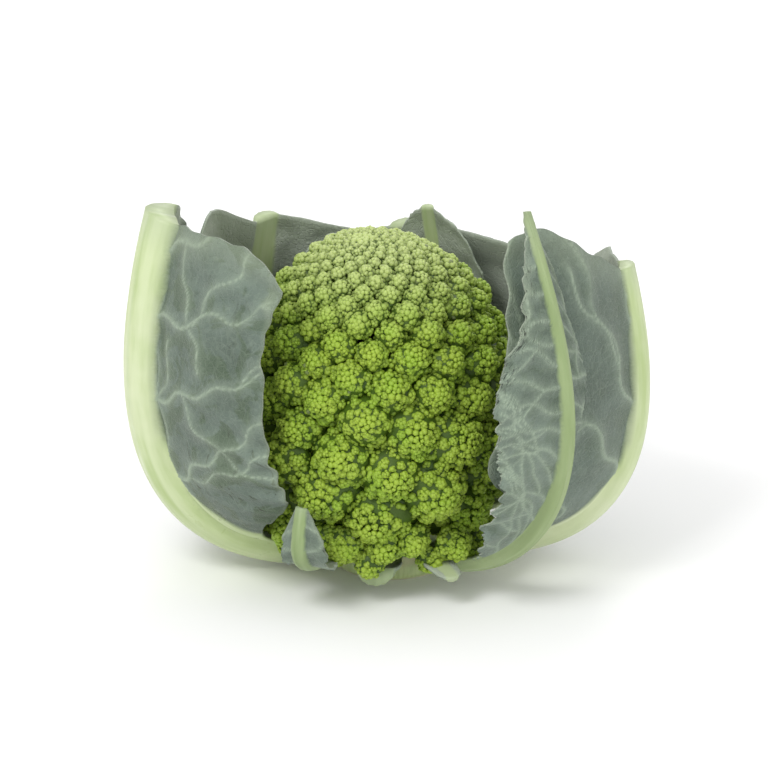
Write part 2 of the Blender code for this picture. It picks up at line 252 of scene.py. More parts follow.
def set_attribute(mesh, name, values):
    made = mesh.attributes.get(name) or mesh.attributes.new(name, "FLOAT", "POINT")
    made.data.foreach_set("value", np.asarray(values, np.float32))


def triangles(mesh):
    """A mesh's triangles, sorted, because a primitive's faces don't come in a fixed order."""
    mesh.calc_loop_triangles()
    found = np.empty(len(mesh.loop_triangles) * 3, np.int32)
    mesh.loop_triangles.foreach_get("vertices", found)
    found = found.reshape(-1, 3)
    first = np.argmin(found, axis=1)[:, None]
    turned = np.take_along_axis(found, (np.arange(3) + first) % 3, axis=1)
    return turned[np.lexsort(turned.T)]


def mesh_from_arrays(name, points, faces):
    """An object from points and triangles."""
    mesh = bpy.data.meshes.new(name)
    mesh.vertices.add(len(points))
    mesh.loops.add(len(faces) * 3)
    mesh.polygons.add(len(faces))
    mesh.vertices.foreach_set("co", np.asarray(points, np.float32).ravel())
    mesh.loops.foreach_set("vertex_index", np.asarray(faces, np.int32).ravel())
    mesh.polygons.foreach_set("loop_start", np.arange(0, len(faces) * 3, 3, dtype=np.int32))
    mesh.polygons.foreach_set("loop_total", np.full(len(faces), 3, np.int32))
    mesh.update(calc_edges=True)
    mesh.shade_smooth()
    made = bpy.data.objects.new(name, mesh)
    bpy.context.scene.collection.objects.link(made)
    return made


def piece_of(made, finish, slot, *nodes):
    """Gives a piece its finish, puts it under the body and hides the CAD nodes that it stands for. The
    slot is not used.
    """
    made.data.materials.clear()
    made.data.materials.append(finish)
    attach(made, BODY)
    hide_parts(*nodes)


# ---- Materials ---------------------------------------------------------------------------------


def new_material(name, roughness):
    made = bpy.data.materials.new(name)
    made.use_nodes = True
    shader = made.node_tree.nodes["Principled BSDF"]
    shader.inputs["Roughness"].default_value = roughness
    return made, made.node_tree, shader


def feed(tree, socket, value):
    """Links a socket to the output given, or sets its value."""
    if isinstance(value, bpy.types.NodeSocket):
        tree.links.new(value, socket)
    else:
        socket.default_value = value


def add_node(tree, kind, **values):
    """A node with its sockets fed by name, and its own settings by lower-case name."""
    made = tree.nodes.new(kind)
    for key, value in values.items():
        if key[0].islower():
            setattr(made, key, value)
        else:
            feed(tree, made.inputs[key.replace("_", " ")], value)
    return made


def attribute(tree, name):
    return add_node(tree, "ShaderNodeAttribute", attribute_name=name).outputs["Fac"]


def colour_mix(tree, share, first, second):
    """Mixes two colours, each an output or three values."""
    made = add_node(tree, "ShaderNodeMix", data_type="RGBA")
    feed(tree, made.inputs[0], share)
    for index, value in ((6, first), (7, second)):
        linked = isinstance(value, bpy.types.NodeSocket)
        feed(tree, made.inputs[index], value if linked else (*value, 1))
    return made.outputs[2]


def calculate(tree, operation, first, second):
    made = add_node(tree, "ShaderNodeMath", operation=operation)
    feed(tree, made.inputs[0], first)
    feed(tree, made.inputs[1], second)
    return made.outputs[0]


def times(tree, first, second):
    return calculate(tree, "MULTIPLY", first, second)


def remap(tree, value, low, high, to_low=0.0, to_high=1.0):
    made = add_node(tree, "ShaderNodeMapRange", interpolation_type="SMOOTHSTEP", Value=value,
                    From_Min=low, From_Max=high, To_Min=to_low, To_Max=to_high)
    return made.outputs["Result"]


def object_noise(tree, scale, detail=3.0, roughness=0.55, distortion=0.0):
    where = add_node(tree, "ShaderNodeTexCoord").outputs["Object"]
    return add_node(tree, "ShaderNodeTexNoise", Vector=where, Scale=scale, Detail=detail,
                    Roughness=roughness, Distortion=distortion).outputs["Fac"]


def stretched_noise(tree, where, stretch, **values):
    placed = add_node(tree, "ShaderNodeMapping", Vector=where, Scale=stretch).outputs["Vector"]
    return add_node(tree, "ShaderNodeTexNoise", Vector=placed, **values).outputs["Fac"]


def add_bump(tree, shader, height, strength, distance):
    made = add_node(tree, "ShaderNodeBump", Strength=strength, Distance=distance, Height=height)
    tree.links.new(made.outputs["Normal"], shader.inputs["Normal"])


def curd_material(settings):
    made, tree, shader = new_material("curd_buds", 0.5)
    rise = attribute(tree, "rise")
    young = attribute(tree, "young")
    spots = attribute(tree, "spot")
    mottle = object_noise(tree, 70.0, 3.0)
    # Painted light: towards the top, young mixes the tips to the pale haze colour and fades the greener
    # mottle.
    tips = colour_mix(tree, young, settings.bud_colour, settings.painted_haze_colour)
    older = calculate(tree, "SUBTRACT", 0.75, young)
    greener = times(tree, remap(tree, mottle, 0.4, 0.68), older)
    tint = colour_mix(tree, calculate(tree, "MAXIMUM", greener, 0.0), tips, (0.22, 0.37, 0.020))
    # Painted shade: as rise falls from the tips down into the crevices, the colour darkens to the crevice
    # shade colour.
    base = colour_mix(tree, remap(tree, rise, 0.12, 0.86), settings.crevice_shade_colour, tint)
    grain = object_noise(tree, 1900.0, 2.0)
    speckles = times(tree, remap(tree, grain, 0.42, 0.7, 0.0, 0.35), remap(tree, rise, 0.3, 0.8))
    speckled = colour_mix(tree, speckles, base, (0.42, 0.56, 0.12))
    spotted = colour_mix(tree, spots, speckled, (0.10, 0.12, 0.07))
    tree.links.new(spotted, shader.inputs["Base Color"])
    shader.inputs["Subsurface Weight"].default_value = 0.12
    shader.inputs["Subsurface Radius"].default_value = (0.8, 1.0, 0.3)
    shader.inputs["Subsurface Scale"].default_value = 0.0012
    shader.inputs["Specular IOR Level"].default_value = 0.35
    add_bump(tree, shader, grain, 0.5, 0.0002)
    return made


# ---- Curd --------------------------------------------------------------------------------------


def curd_frame(settings):
    """From the curd's own frame, with +Z up the leaning stalk, to the head's."""
    return (
        Matrix.Translation((0, 0, COLLAR_HEIGHT))
        @ Matrix.Rotation(settings.lean_front, 4, "X")
        @ Matrix.Rotation(-settings.lean_left, 4, "Y")
        @ Matrix.Translation((0, 0, -COLLAR_HEIGHT))
    )


class Dome:
    """The curd's outline, from its tip down to the lowest florets."""

    last_angle = math.radians(126)
    steps = 360

    def __init__(self, settings):
        angle = np.linspace(0, self.last_angle, self.steps + 1)
        rise = np.where(np.cos(angle) > 0, settings.height - settings.widest, settings.underside)
        self.radius = settings.radius * np.sin(angle)
        self.height = settings.widest + rise * np.cos(angle)
        self.slope = np.arctan2(np.cos(angle) / rise, np.sin(angle) / settings.radius)
        steps = np.hypot(np.diff(self.radius), np.diff(self.height))
        self.travel = np.concatenate([[0], np.cumsum(steps)])

    def at(self, travel):
        index = min(np.searchsorted(self.travel, travel), self.steps)
        return self.radius[index], self.height[index], self.slope[index]


class Floret(NamedTuple):
    travel: float
    tip: np.ndarray
    axis: np.ndarray
    diameter: float


BUD_SPREAD = 1.12
FIRST_FLORET = 1.6 * MM
FLORET_GROWTH = 0.235
PACKING = 0.82
LOWEST_BRANCH = math.radians(-12)
SHOWN_BY_LEVEL = (0.93, 0.68, 0.6)  # share of a floret's side that is covered, by how small it is
BUD_OVERLAP = 0.2  # how far past a parting plane, as a share of its size, a bud may stand
FLORET_OVERLAP = 0.44
LARGE_CORE = 10 * MM
HANGS_BELOW = 52 * MM  # only florets whose tips are lower have branches that hang
HANGING = ((0.0, -0.20, 15 * MM), (0.0, 0.13, 17 * MM), (8 * MM, -0.03, 13 * MM))  # drop, turn, diameter
HANGING_RADIUS = 56 * MM
HANGING_HEIGHT = 22 * MM
PALE_FROM = 36 * MM  # below the crown's top, where the painted haze of light starts to pale the curd


def main_florets(settings):
    """The florets on the dome, youngest first, in the head's frame."""
    dome = Dome(settings)
    place = curd_frame(settings)
    florets = []
    travel = FIRST_FLORET / 2
    while travel < dome.travel[-1]:
        diameter = min(FIRST_FLORET + FLORET_GROWTH * travel, settings.largest)
        radius, height, slope = dome.at(travel)
        azimuth = len(florets) * GOLDEN_ANGLE
        slope = max(slope, LOWEST_BRANCH)
        tip = Vector((math.cos(azimuth) * radius, math.sin(azimuth) * radius, height))
        axis = Vector((math.cos(azimuth) * math.cos(slope), math.sin(azimuth) * math.cos(slope),
                       math.sin(slope)))
        florets.append(Floret(travel, np.array(place @ tip), np.array(place.to_3x3() @ axis), diameter))
        travel += PACKING * diameter**2 / (2 * math.pi * max(radius, FIRST_FLORET))
    return florets


def uneven_florets(settings):
    """The florets as they have grown: into each other, and not all alike."""
    rng = np.random.default_rng(8)
    found = []
    for floret in main_florets(settings):
        spread = rng.normal(0, 1, 4)
        share = smooth_step(6 * MM, 16 * MM, floret.diameter)
        axis = floret.axis + spread[:3] * 0.09 * share
        axis /= np.linalg.norm(axis)
        unevenness = np.clip(settings.disorder * 0.7 * spread[3], -0.14, 0.14)
        swelling = settings.swelling * (1 + share * unevenness)
        tip = floret.tip + floret.axis * (rng.normal(0, 0.9 * MM) - 0.4 * MM) * share
        found.append(floret._replace(tip=tip, axis=axis, diameter=floret.diameter * swelling))
    return found


class Cone:
    """The outline of a floret of radius 1: a pointed dome that tucks in under its widest level."""

    slope = 0.95
    widest = 1.04
    last_angle = math.radians(116)

    def __init__(self):
        angle = self.angle = np.linspace(0, self.last_angle, 90)
        quarter = np.minimum(angle / (math.pi / 2), 1.0)
        upper = self.widest * (0.6 * quarter + 0.4 * np.sin(angle))
        self.radius = np.where(angle < math.pi / 2, upper, self.widest * np.sin(angle))
        self.depth = self.slope * 1.05 * (1 - np.cos(angle))
        steps = np.hypot(np.diff(self.radius), np.diff(self.depth))
        self.travel = np.concatenate([[0], np.cumsum(steps)])
        lean = np.arctan2(np.gradient(self.radius), np.gradient(self.depth))
        self.up = np.sin(lean)
        self.out = np.cos(lean)


CONE = Cone()


def basis_of(axis):
    """Two unit vectors square to the axis and to each other."""
    helper = np.array((0.0, 0.0, 1.0)) if abs(axis[2]) < 0.9 else np.array((1.0, 0.0, 0.0))
    side = np.cross(helper, axis)
    side /= np.linalg.norm(side)
    return side, np.cross(axis, side)


def spiral_on_cone(diameter, settings):
    """Travels from the tip and diameters of the small florets on a floret, youngest first."""
    radius = diameter / 2
    travels, diameters = [], []
    travel = settings.smallest_bud * 0.35
    while travel < CONE.travel[-1] * radius:
        size = np.clip(settings.smallest_bud * 0.75 + settings.growth * travel, settings.smallest_bud,
                       max(settings.share * diameter, settings.smallest_bud))
        around = np.interp(travel / radius, CONE.travel, CONE.radius) * radius
        travels.append(travel)
        diameters.append(size)
        travel += PACKING * size * size / (2 * math.pi * max(around, size * 0.3))
    return np.array(travels), np.array(diameters)


def parting_planes(tips, axes, diameters, index, others):
    """(point, normal) of the planes that part one floret from its neighbours, as arrays."""
    centres = tips - axes * (diameters * 0.5 * CONE.slope)[:, None]
    towards = centres[others] - centres[index]
    share = diameters[index] / (diameters[index] + diameters[others])
    points = centres[index] + towards * share[:, None]
    return points, towards / np.linalg.norm(towards, axis=1)[:, None]


class Growth:
    """Collects the buds of one piece of curd and the cores that they sit on."""

    def __init__(self, settings, rng):
        self.settings = settings
        self.rng = rng
        self.buds = []
        self.cores = []

    def grow(self, tip, axis, diameter, planes, rise, level=0):
        """Covers a floret with smaller ones, and those with buds, where no neighbour hides them."""
        travels, sizes = spiral_on_cone(diameter, self.settings)
        radius = diameter / 2
        reach = travels / radius
        around = np.interp(reach, CONE.travel, CONE.radius) * radius
        depth = np.interp(reach, CONE.travel, CONE.depth) * radius
        out = np.interp(reach, CONE.travel, CONE.out)
        up = np.interp(reach, CONE.travel, CONE.up)
        azimuth = np.arange(len(travels)) * GOLDEN_ANGLE + self.rng.uniform(0, 2 * math.pi)
        side, across = basis_of(axis)
        spokes = np.cos(azimuth)[:, None] * side + np.sin(azimuth)[:, None] * across
        tips = tip + spokes * around[:, None] - axis * depth[:, None]
        axes = spokes * out[:, None] + axis * up[:, None]
        disorder = self.settings.disorder
        axes += self.rng.normal(0, disorder * 0.8, axes.shape)
        axes /= np.linalg.norm(axes, axis=1)[:, None]
        sizes = sizes * (1 + np.clip(self.rng.normal(0, disorder, len(sizes)), -0.3, 0.3))
        tips += axes * (self.rng.normal(0, disorder * 0.35, len(sizes)) * sizes)[:, None]
        # rises falls from 1 at a small floret's tip down its parent's side; it sets how much painted shade
        # each bud gets.
        rises = 1 - reach / CONE.travel[-1]
        sunk = np.interp(0.3, reach, sizes) * 0.62
        # The cores show only in the gaps, so they are given nearly the full painted shade.
        self.cores.append((tip - axis * sunk, axis, diameter * 0.86, rise * 0.25))
        points, normals = planes
        overlap = np.where(sizes < self.settings.largest_bud, BUD_OVERLAP, FLORET_OVERLAP) * sizes
        shown = reach < CONE.travel[-1] * SHOWN_BY_LEVEL[min(level, 2)]
        for point, normal in zip(points, normals):
            shown &= (tips - point) @ normal < overlap
        for index in np.flatnonzero(shown):
            own_rise = 0.42 * rises[index] + 0.58 * rise if rise < 1 else rises[index]
            if sizes[index] < self.settings.largest_bud:
                self.buds.append((tips[index], axes[index], sizes[index] * BUD_SPREAD, own_rise))
                continue
            near = np.linalg.norm(tips - tips[index], axis=1) < (sizes + sizes[index]) * 0.85
            near[index] = False
            own = parting_planes(tips, axes, sizes, index, np.flatnonzero(near))
            joined = (np.vstack([points, own[0]]), np.vstack([normals, own[1]]))
            self.grow(tips[index], axes[index], sizes[index], joined, rises[index] * 0.999, level + 1)


def bud_shape():
    """Points and triangles of one bud: a pointed dome on a short neck, 2 across, its tip at the origin."""
    deselect()
    bpy.ops.mesh.primitive_uv_sphere_add(segments=6, ring_count=3, radius=1)
    bud = bpy.context.object
    points = coordinates(bud.data)
    height = points[:, 2]
    upper = (height > 0.1) & (height < 0.9)
    lower = (height < -0.1) & (height > -0.9)
    points[:, :2] *= np.where(upper, 0.78, np.where(lower, 1.27, 1.0))[:, None]
    points[:, 2] = np.where(upper, -0.24, np.where(lower, -0.95, np.where(height > 0, 0, -1.5)))
    faces = triangles(bud.data)
    bpy.data.objects.remove(bud)
    return points, faces


def core_shape(segments, rings):
    """Points and triangles of the smooth cone under a floret's buds, of radius 1."""
    deselect()
    bpy.ops.mesh.primitive_uv_sphere_add(segments=segments, ring_count=rings, radius=1)
    core = bpy.context.object
    points = coordinates(core.data)
    angle = np.arccos(np.clip(points[:, 2], -1, 1)) * CONE.last_angle / math.pi
    around = np.interp(angle, CONE.angle, CONE.radius)
    depth = np.interp(angle, CONE.angle, CONE.depth)
    bearing = np.arctan2(points[:, 1], points[:, 0])
    lowest = points[:, 2] < -0.999
    around = np.where(lowest, 0, around)
    points = np.stack([np.cos(bearing) * around, np.sin(bearing) * around, -depth], axis=1)
    faces = triangles(core.data)
    bpy.data.objects.remove(core)
    return points, faces


def curd_shapes():
    """The bud, the core of a large floret and the core of a small one."""
    return bud_shape(), core_shape(12, 9), core_shape(8, 5)


def copies(shape, tips, axes, sizes):
    """Copies of a shape, each turned to its axis with its origin at its tip, as points and faces."""
    points, faces = shape
    side = np.cross(np.where(np.abs(axes[:, 2:]) < 0.9, (0.0, 0.0, 1.0), (1.0, 0.0, 0.0)), axes)
    side /= np.linalg.norm(side, axis=1)[:, None]
    across = np.cross(axes, side)
    frames = np.stack([side, across, axes], axis=1) * (sizes / 2)[:, None, None]
    placed = np.einsum("pk,nkd->npd", points, frames) + tips[:, None, :]
    offsets = np.arange(len(tips))[:, None, None] * len(points)
    return placed.reshape(-1, 3), (faces[None] + offsets).reshape(-1, 3)


def curd_piece(name, florets, all_florets, settings, shapes, seed, hanging=()):
    """One mesh of budded florets, with any side branches that hang from them."""
    bud, core, small_core = shapes
    rng = np.random.default_rng(seed)
    growth = Growth(settings, rng)
    tips = np.array([floret.tip for floret in all_florets])
    axes = np.array([floret.axis for floret in all_florets])
    sizes = np.array([floret.diameter for floret in all_florets])
    for index in florets:
        floret = all_florets[index]
        if floret.diameter < settings.largest_bud:
            growth.buds.append((floret.tip, floret.axis, floret.diameter * 1.1, 0.95))
            continue
        near = np.linalg.norm(tips - floret.tip, axis=1) < (sizes + floret.diameter) * 0.95
        near[index] = False
        planes = parting_planes(tips, axes, sizes, index, np.flatnonzero(near))
        growth.grow(floret.tip, floret.axis, floret.diameter, planes, 1.0)
    for tip, axis, diameter in hanging:
        growth.grow(tip, axis, diameter, (np.zeros((0, 3)), np.zeros((0, 3))), 0.8)
    made_points, made_faces, rises, spots = [], [], [], []
    count = 0
    large = [placed for placed in growth.cores if placed[2] > LARGE_CORE]
    small = [placed for placed in growth.cores if placed[2] <= LARGE_CORE]
    # Buds take a third of their rise from their own height, so each is painted darker at its base, as
    # shade.
    kinds = ((core, large, 0.0), (small_core, small, 0.0), (bud, growth.buds, 0.34))
    for shape, placed, height_share in kinds:
        if not placed:
            continue
        where, aims, widths, rise = (np.array(column) for column in zip(*placed))
        points, faces = copies(shape, where, aims, widths)
        local = np.tile(1 + shape[0][:, 2] / -shape[0][:, 2].min(), len(where))
        made_points.append(points)
        made_faces.append(faces + count)
        rises.append(np.repeat(rise, len(shape[0])) * (1 - height_share) + local * height_share)
        spotted = rng.random(len(where)) < 0.002
        spots.append(np.repeat(spotted.astype(float) * 0.7, len(shape[0])))
        count += len(points)
    points = np.vstack(made_points)
    made = mesh_from_arrays(name, points, np.vstack(made_faces))
    # rise drives the painted shade of the crevices and of the buds' bases.
    set_attribute(made.data, "rise", np.concatenate(rises))
    set_attribute(made.data, "spot", np.concatenate(spots))
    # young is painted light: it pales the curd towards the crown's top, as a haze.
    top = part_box("crown")[1].z
    young = smooth_step(top - PALE_FROM, top + 3 * MM, points[:, 2])
    set_attribute(made.data, "young", young)
    return made


def hanging_branches(floret, rng):
    """(tip, axis, diameter) of the side branches that hang under one of the lowest florets."""
    aim = math.atan2(floret.tip[1], floret.tip[0])
    in_front = math.sin(aim) < -0.3
    if floret.tip[2] > HANGS_BELOW or not in_front:
        return []
    found = []
    for drop, turn, diameter in HANGING:
        bearing = aim + turn + rng.normal(0, 0.03)
        radius = (HANGING_RADIUS - drop * 0.7) + rng.normal(0, 1.2 * MM)
        height = HANGING_HEIGHT - drop + rng.normal(0, 1.2 * MM)
        out = np.array((math.cos(bearing), math.sin(bearing), 0.0))
        axis = out * 0.9 + np.array((0, 0, -0.22 - drop * 40))
        found.append((out * radius + np.array((0, 0, height)), axis / np.linalg.norm(axis), diameter))
    return found


def crown_shares(florets):
    """The crown's florets in a few pieces of about the same area."""
    area = np.cumsum([floret.diameter**2 for floret in florets])
    bounds = np.searchsorted(area, np.linspace(0, area[-1], CROWN_PIECES + 1)[1:-1])
    return np.split(np.arange(len(florets)), bounds)


class ROMANESCO_OT_crown(bpy.types.Operator):
    """Builds the crown of young florets."""

    bl_idname = "romanesco.crown"
    bl_label = "Crown"

    def execute(self, context):
        settings = context.scene.romanesco_curd
        finish = curd_material(settings)
        shapes = curd_shapes()
        florets = uneven_florets(settings)
        young = florets[: len(florets) - OWN_FLORETS]
        for number, share in enumerate(crown_shares(young), start=1):
            made = curd_piece(f"crown_{number}", share, florets, settings, shapes, number)
            piece_of(made, finish, "curd", "crown")
        return {"FINISHED"}


class ROMANESCO_OT_florets(bpy.types.Operator):
    """Builds the oldest florets, one piece for each floret node of the frame."""

    bl_idname = "romanesco.florets"
    bl_label = "Florets"

    def execute(self, context):
        settings = context.scene.romanesco_curd
        finish = bpy.data.materials["curd_buds"]
        shapes = curd_shapes()
        florets = uneven_florets(settings)
        first = len(florets) - OWN_FLORETS
        for number in range(1, OWN_FLORETS + 1):
            node = f"floret_{number:02d}"
            index = first + number - 1
            hanging = hanging_branches(florets[index], np.random.default_rng(number))
            seed = 100 + number
            made = curd_piece(f"budded_{node}", [index], florets, settings, shapes, seed, hanging)
            piece_of(made, finish, "curd", node)
        return {"FINISHED"}


# ---- Stalk -------------------------------------------------------------------------------------


def stalk_material(settings):
    made, tree, shader = new_material("cut_stalk", 0.55)
    pith, ring, scar = attribute(tree, "pith"), attribute(tree, "ring"), attribute(tree, "scar")
    broad = object_noise(tree, 60.0, 4.0)
    where = add_node(tree, "ShaderNodeTexCoord").outputs["Object"]
    fibres = stretched_noise(tree, where, (1.0, 1.0, 0.15), Scale=650.0, Detail=3.0)
    skin = colour_mix(tree, remap(tree, fibres, 0.35, 0.7), settings.skin_colour, (0.40, 0.50, 0.22))
    skin = colour_mix(tree, remap(tree, broad, 0.5, 0.7, 0.0, 0.5), skin, (0.62, 0.66, 0.42))
    skin = colour_mix(tree, times(tree, scar, 0.7), skin, (0.56, 0.54, 0.34))
    grain = object_noise(tree, 500.0, 3.0)
    cut = colour_mix(tree, remap(tree, grain, 0.4, 0.7), settings.pith_colour, (0.66, 0.66, 0.40))
    cut = colour_mix(tree, times(tree, ring, 0.6), cut, (0.46, 0.52, 0.24))
    cut = colour_mix(tree, remap(tree, broad, 0.54, 0.66, 0.0, 0.55), cut, (0.50, 0.40, 0.22))
    tree.links.new(colour_mix(tree, pith, skin, cut), shader.inputs["Base Color"])
    shader.inputs["Subsurface Weight"].default_value = 0.08
    shader.inputs["Subsurface Scale"].default_value = 0.002
    add_bump(tree, shader, calculate(tree, "ADD", fibres, grain), 0.5, 0.0004)
    return made


class ROMANESCO_OT_stalk(bpy.types.Operator):
    """Builds the stalk, from its cut butt up into the curd."""

    bl_idname = "romanesco.stalk"
    bl_label = "Stalk"

    def execute(self, context):
        settings = context.scene.romanesco_stalk
        rng = np.random.default_rng(2)
        deselect()
        bpy.ops.mesh.primitive_uv_sphere_add(segments=128, ring_count=96, radius=1)
        made = context.object
        made.name = made.data.name = "cut_stalk"
        points = coordinates(made.data)
        place = np.arccos(np.clip(-points[:, 2], -1, 1)) / math.pi  # 0 under the butt, 1 at the top
        bearing = np.arctan2(points[:, 1], points[:, 0])
        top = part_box("stalk")[1].z
        outline = (
            (0, 0, 0), (0.28, BUTT_RADIUS - 1.3 * MM, 0), (0.31, BUTT_RADIUS, 1.5 * MM),
            (0.62, BUTT_RADIUS, COLLAR_HEIGHT), (0.76, 15 * MM, COLLAR_HEIGHT + 12 * MM),
            (0.99, 6 * MM, top - 1 * MM), (1, 0, top - 1 * MM),
        )
        places, radii, heights = zip(*outline)
        radius = np.interp(place, places, radii)
        height = np.interp(place, places, heights)
        side = smooth_step(0.29, 0.34, place)
        scar = np.zeros_like(place)
        for number in range(settings.scars):
            azimuth = number * GOLDEN_ANGLE + rng.normal(0, 0.1)
            level = rng.uniform(4.5, 10) * MM
            turn = np.angle(np.exp(1j * (bearing - azimuth))) * BUTT_RADIUS / mm(7.5)
            scar = np.maximum(scar, np.exp(-(turn**4) - ((height - level) / mm(2.2)) ** 4) * side)
        flutes = 0.35 * MM * np.cos(bearing * 11 + 0.6 * np.sin(bearing * 3)) * side
        radius = radius + flutes - 0.9 * MM * scar - 0.35 * MM
        dished = 0.5 * MM * (1 - np.clip(radius / BUTT_RADIUS, 0, 1) ** 2) * (1 - side)
        placed = np.stack([radius * np.cos(bearing), radius * np.sin(bearing), height + dished], axis=1)
        tilted = np.array(curd_frame(context.scene.romanesco_curd))
        leaning = placed @ tilted[:3, :3].T + tilted[:3, 3]
        upper = smooth_step(COLLAR_HEIGHT - 4 * MM, COLLAR_HEIGHT, height)[:, None]
        set_coordinates(made.data, placed * (1 - upper) + leaning * upper)
        made.data.shade_smooth()
        share = radius / BUTT_RADIUS
        set_attribute(made.data, "pith", 1 - smooth_step(0.285, 0.30, place))
        off_ring = share - 0.72 - 0.03 * np.cos(9 * bearing)
        set_attribute(made.data, "ring", np.exp(-((off_ring / 0.07) ** 2)))
        set_attribute(made.data, "scar", scar)
        piece_of(made, stalk_material(settings), "stalk", "stalk")
        return {"FINISHED"}


# ---- Leaves ------------------------------------------------------------------------------------


class Leaf(NamedTuple):
    """One leaf, as its solid in the frame is laid out. Azimuths run anticlockwise from +X."""

    name: str
    azimuths: tuple  # of the midrib at its base, its middle and its top, in degrees
    reach: tuple  # of the blade to the low and to the high side, in degrees
    bulge: float
    top_radius: float
    tops: tuple  # height of the cut edge at the low side, the midrib and the high side
    curl: tuple = mm(3, 3)  # how far the low and the high side turn inwards
    rib: tuple = mm(16, 13)  # width of the midrib at its base and its top
    depth: tuple = mm(9, 5)  # how far it stands out there
    base: float = LEAF_BASE
    seed: int = 1
    grain: float = 1.2 * MM  # size of the mesh's faces
    waves: tuple = mm(2.5, 2.5)  # height of the ruffles at the low and the high edge
    frills: tuple = mm(1.2, 1.2)  # depth of the notches in those edges
    ragged: float = 0.0
    outline: tuple = (((0, 1), (1, 1)),) * 2  # (share, width) along the low and the high side
    corners: tuple = mm(8, 8)  # rounding of the two top corners
    slopes: tuple = (0.0, 0.0)  # fall of the cut top away from the midrib
    vein_gap: float = 28 * MM
    vein_angle: float = 50.0
    vein_width: float = 1.6 * MM
    feathery: bool = False  # many fine side veins
    heel: float = 0.6  # how much the pale heel widens towards the base
    wet: float = 0.0  # dark water-soaked blotches
    pale: float = 1.0  # how pale the midrib is


INNER_RING = 72 * MM
MIDDLE_RING = INNER_RING + 11 * MM
OUTER_RING = MIDDLE_RING + 11 * MM
THIN_RIB = dict(rib=mm(10, 5), depth=mm(3, 1.5), base=INNER_LEAF_BASE)
INNER_LOOK = dict(THIN_RIB, grain=1.1 * MM, frills=mm(3, 3), ragged=0.8, vein_gap=13 * MM,
                  vein_width=1.2 * MM, feathery=True)

OUTER_LEAVES = (
    Leaf("outer_leaf_left", (188, 187, 186), (29, 39), OUTER_RING - 2 * MM, OUTER_RING - 10 * MM,
         mm(120, 151, 158), mm(2, 14), mm(26, 25), mm(12, 11),
         seed=3, grain=0.88 * MM, waves=mm(2.5, 3), corners=mm(6, 9),
         outline=(((0, 1), (1, 1)), ((0, 1), (0.5, 1), (0.7, 0.97), (0.85, 0.98), (0.92, 1.11),
                                     (0.955, 1.03), (1, 1))),
         vein_gap=32 * MM, vein_width=1.8 * MM, heel=1.1, wet=1.0),
    Leaf("outer_leaf_right", (354, 353, 354), (42, 32), OUTER_RING - 2 * MM, OUTER_RING - 5 * MM,
         mm(176, 130, 122), mm(24, 2), seed=5, grain=0.95 * MM,
         waves=mm(3, 2.5), vein_gap=34 * MM, vein_width=1.7 * MM, heel=1.0, wet=0.3),
    Leaf("outer_leaf_back", (88, 88, 86), (34, 34), OUTER_RING, OUTER_RING - 8 * MM,
         mm(112, 114, 110), mm(2, 2), mm(14, 13), seed=7, grain=1.3 * MM,
         wet=0.2, pale=0.7),
    Leaf("front_leaf_right", (306, 318, 307), (20, 8), OUTER_RING - 4 * MM, OUTER_RING - 12 * MM,
         mm(150, 171, 148), mm(4, 0), mm(13, 4), mm(6, 2),
         seed=11, grain=0.8 * MM, waves=mm(3.5, 1.5), frills=mm(3.5, 1), ragged=1.0,
         outline=(((0, 1), (0.48, 0.85), (0.62, 0.9), (0.73, 1), (0.80, 0.78), (0.86, 0.5),
                   (0.93, 0.42), (1, 0.3)), ((0, 1), (0.3, 0.15), (0.6, 0.2), (0.74, 1), (1, 1))),
         corners=mm(3, 3), slopes=(0.9, 1.1), heel=0.5,
         vein_gap=10 * MM, vein_angle=58.0, vein_width=1.2 * MM, feathery=True, wet=0.45, pale=0.12),
)
MIDDLE_LEAVES = (
    Leaf("back_leaf_left", (131, 130, 130), (36, 38), MIDDLE_RING, MIDDLE_RING - 6 * MM,
         mm(113, 127, 151), mm(2, 4), mm(14, 11), mm(8, 4), seed=13,
         grain=1.3 * MM, pale=0.7),
    Leaf("back_leaf_right", (44, 45, 46), (35, 34), MIDDLE_RING, MIDDLE_RING - 7 * MM,
         mm(110, 115, 124), mm(4, 2), mm(14, 11), mm(8, 4), seed=17,
         grain=1.3 * MM, pale=0.6),
)
INNER_LEAVES = (
    Leaf("inner_leaf_left", (109, 110, 112), (15, 17), INNER_RING, INNER_RING - 9 * MM,
         mm(112, 119, 113), **INNER_LOOK, seed=19, pale=0.5),
    Leaf("inner_leaf_back", (68, 71, 77), (20, 11), INNER_RING, INNER_RING - 9 * MM,
         mm(116, 131, 124), **INNER_LOOK, seed=23, pale=0.8),
    Leaf("inner_leaf_right", (20, 22, 27), (18, 15), INNER_RING, INNER_RING - 8 * MM,
         mm(99, 110, 113), **INNER_LOOK, seed=29, pale=0.8),
)
